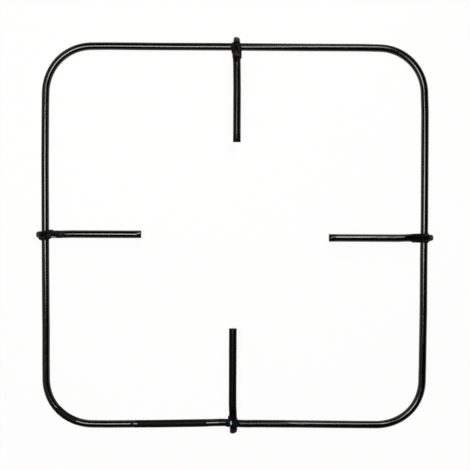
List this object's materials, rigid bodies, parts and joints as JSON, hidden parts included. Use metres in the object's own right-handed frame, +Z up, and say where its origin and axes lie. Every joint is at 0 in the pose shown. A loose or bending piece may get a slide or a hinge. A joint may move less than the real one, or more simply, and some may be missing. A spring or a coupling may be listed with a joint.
{
  "type": "hob pan support",
  "caption": "Square wire pan support for a gas hob: a rounded frame of enamelled steel rod with cranked fingers welded over its sides to hold a pan above the burner.",
  "frame": {"origin": "on the hob surface, under the middle of the frame", "axes": "+Z up towards the pan, +Y towards the back of the hob, +X to the right as the cook faces the hob"},
  "size_m": [0.2464, 0.2464, 0.0155],
  "materials": {
    "black_enamel": "glossy black vitreous enamel fired on steel rod"
  },
  "bodies": {
    "root": {"frame_ring": "black_enamel", "finger_rear": "black_enamel", "finger_right": "black_enamel", "finger_front": "black_enamel", "finger_left": "black_enamel", "weld_rear": "black_enamel", "weld_right": "black_enamel", "weld_front": "black_enamel", "weld_left": "black_enamel"}
  },
  "joints": []
}
